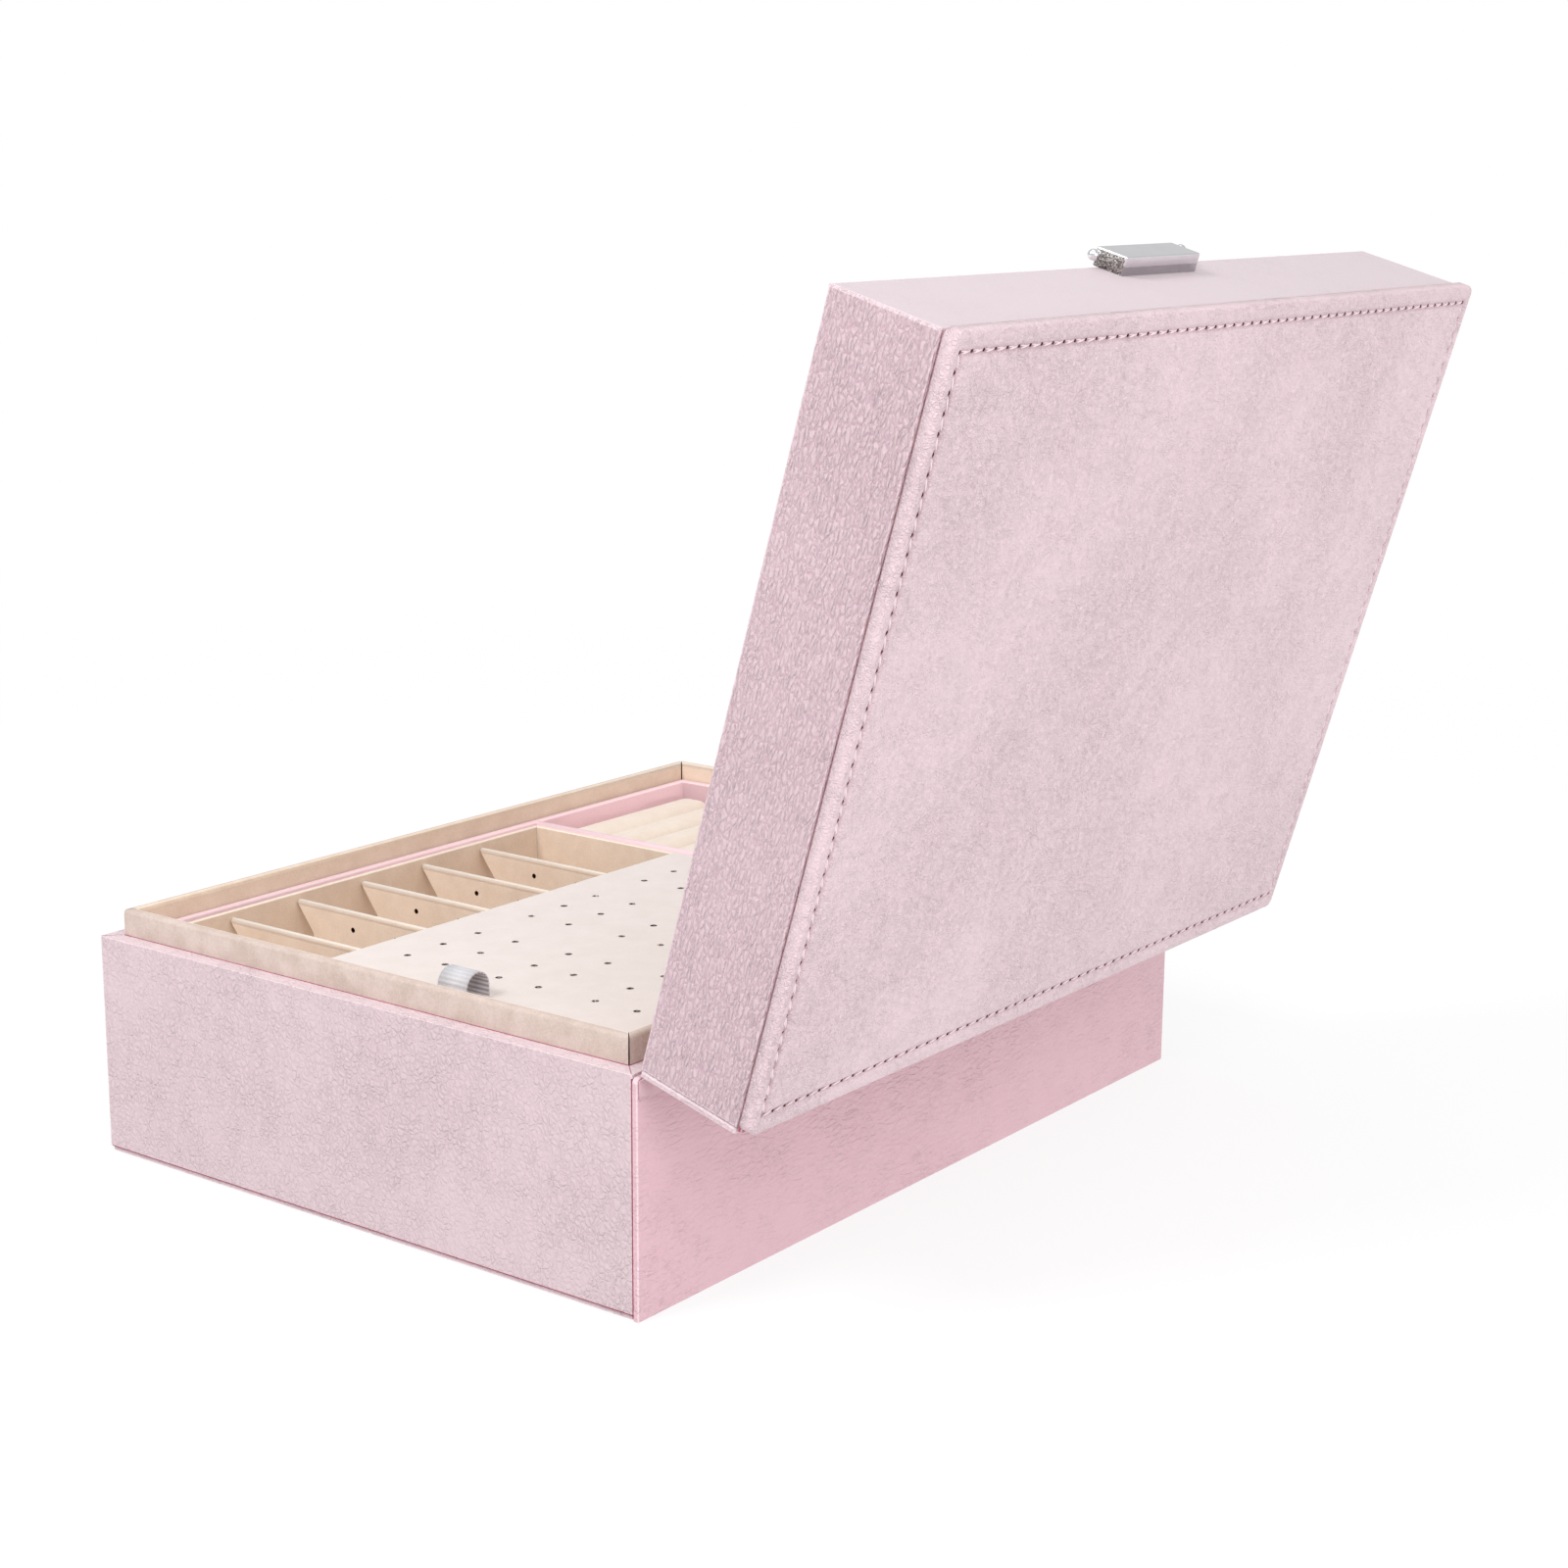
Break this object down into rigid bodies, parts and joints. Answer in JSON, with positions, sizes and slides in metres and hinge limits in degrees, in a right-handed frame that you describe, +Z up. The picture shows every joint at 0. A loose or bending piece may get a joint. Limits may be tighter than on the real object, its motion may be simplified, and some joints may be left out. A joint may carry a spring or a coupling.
{
  "type": "jewelry box",
  "caption": "Hinged leatherette jewelry box with a padded lid, velvet-lined compartments, ring rolls, a lift-out tray, a perforated earring panel and a bail clasp.",
  "frame": {"origin": "centre of the case's underside, on the surface it stands on", "axes": "+Z up, +X along the width towards the side with the compartments, +Y towards the hinge; the clasp is at -Y"},
  "size_m": [0.2316, 0.2618, 0.2307],
  "materials": {
    "leatherette": "satin",
    "padded_leather": "satin",
    "tray_leatherette": "satin",
    "collar_velvet": "matte",
    "compartment_velvet": "matte",
    "cream_velvet": "matte",
    "lining_velvet": "matte",
    "ribbon": "satin",
    "foam": "matte",
    "chrome": "polished"
  },
  "bodies": {
    "case": {"bottom_board": "leatherette", "back_board": "leatherette", "base_wall_front": "leatherette", "base_wall_right": "leatherette", "base_wall_back": "leatherette", "base_wall_left": "leatherette", "base_floor": "lining_velvet", "collar_front": "collar_velvet", "collar_right": "collar_velvet", "collar_back": "collar_velvet", "collar_left": "collar_velvet", "lower_liner_front": "lining_velvet", "lower_liner_right": "lining_velvet", "lower_liner_back": "lining_velvet", "lower_liner_left": "lining_velvet", "lower_divider_cross": "lining_velvet", "lower_divider_long": "lining_velvet", "catch_block": "chrome", "catch_pin": "chrome", "catch_rivets": "chrome", "hinge_strip": "leatherette", "hinge_lining": "lining_velvet"},
    "lid": {"lid_wall_front": "leatherette", "lid_wall_right": "leatherette", "lid_wall_back": "leatherette", "lid_wall_left": "leatherette", "lid_back_board": "leatherette", "lid_top_board": "leatherette", "lid_lining": "lining_velvet", "top_panel": "padded_leather", "top_foam": "foam", "keeper_block": "chrome", "keeper_pin": "chrome", "keeper_rivets": "chrome"},
    "tray": {"tray_floor": "lining_velvet", "tray_wall_front": "tray_leatherette", "tray_wall_right": "tray_leatherette", "tray_wall_back": "tray_leatherette", "tray_wall_left": "tray_leatherette", "tray_partition": "tray_leatherette", "tray_liner_front": "compartment_velvet", "tray_liner_right": "compartment_velvet", "tray_liner_back": "compartment_velvet", "tray_liner_left": "compartment_velvet", "divider_1": "compartment_velvet", "divider_2": "compartment_velvet", "divider_3": "compartment_velvet", "divider_4": "compartment_velvet", "divider_5": "compartment_velvet"},
    "panel": {"earring_panel": "cream_velvet", "ribbon_tab": "ribbon"},
    "ring_insert": {"ring_bed": "foam", "ring_rolls": "cream_velvet"},
    "bail": {"bail": "chrome"}
  },
  "joints": [
    {"name": "lid_hinge", "type": "hinge", "parent": "case", "child": "lid", "pos_m": [0, 0.0882, 0.057], "axis": [-1, 0, 0], "range_deg": [-106, 0], "deforming": ["hinge_strip", "hinge_lining"]},
    {"name": "tray_lift", "type": "slide", "parent": "case", "child": "tray", "axis": [0, 0, 1], "range_m": [0, 0.05]},
    {"name": "panel_lift", "type": "slide", "parent": "tray", "child": "panel", "axis": [0, 0, 1], "range_m": [0, 0.03]},
    {"name": "ring_insert_lift", "type": "slide", "parent": "tray", "child": "ring_insert", "axis": [0, 0, 1], "range_m": [0, 0.03]},
    {"name": "bail_swing", "type": "hinge", "parent": "case", "child": "bail", "pos_m": [0, -0.0908, 0.0472], "axis": [1, 0, 0], "range_deg": [-170, 0]}
  ]
}
